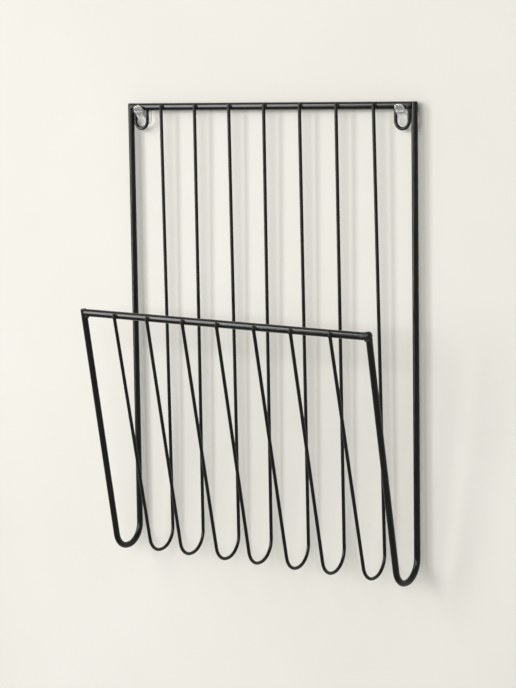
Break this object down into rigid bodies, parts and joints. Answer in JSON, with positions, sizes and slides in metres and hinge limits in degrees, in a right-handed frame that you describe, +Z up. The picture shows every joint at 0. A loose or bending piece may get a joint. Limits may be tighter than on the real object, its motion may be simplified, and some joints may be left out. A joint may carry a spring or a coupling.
{
  "type": "wall magazine rack",
  "caption": "Wall rack of welded black steel wire whose upright back wires bend up into a sloping magazine pocket under a front rail, hung by wire loops on clear stick-on hooks.",
  "frame": {"origin": "On the plane of the wall, midway between the hooks and level with the middle line of the top rail", "axes": "+X runs to the right along the rails as seen from the room, +Y points into the wall, +Z is up"},
  "size_m": [0.3021, 0.0854, 0.4],
  "materials": {
    "black_paint": "satin black paint on drawn steel wire",
    "weld_paint": "satin black paint over rough weld metal",
    "clear_plastic": "clear moulded plastic, polished",
    "adhesive_foam": "milky foam tape"
  },
  "bodies": {
    "wall_hooks": {"left_wall_hook": "clear_plastic", "right_wall_hook": "clear_plastic", "left_adhesive_pad": "adhesive_foam", "right_adhesive_pad": "adhesive_foam"},
    "rack": {"top_rail": "black_paint", "front_rail": "black_paint", "left_side_rod": "black_paint", "right_side_rod": "black_paint", "rack_wire_1": "black_paint", "rack_wire_2": "black_paint", "rack_wire_3": "black_paint", "rack_wire_4": "black_paint", "rack_wire_5": "black_paint", "rack_wire_6": "black_paint", "rack_wire_7": "black_paint", "left_hanging_loop": "black_paint", "right_hanging_loop": "black_paint", "top_wire_welds": "weld_paint", "front_wire_welds": "weld_paint", "top_corner_welds": "weld_paint", "front_corner_welds": "weld_paint", "left_loop_welds": "weld_paint", "right_loop_welds": "weld_paint"}
  },
  "joints": [
    {"name": "lift_off", "type": "slide", "parent": "wall_hooks", "child": "rack", "axis": [0, -0.5, 0.866], "range_m": [0, 0.06]}
  ]
}
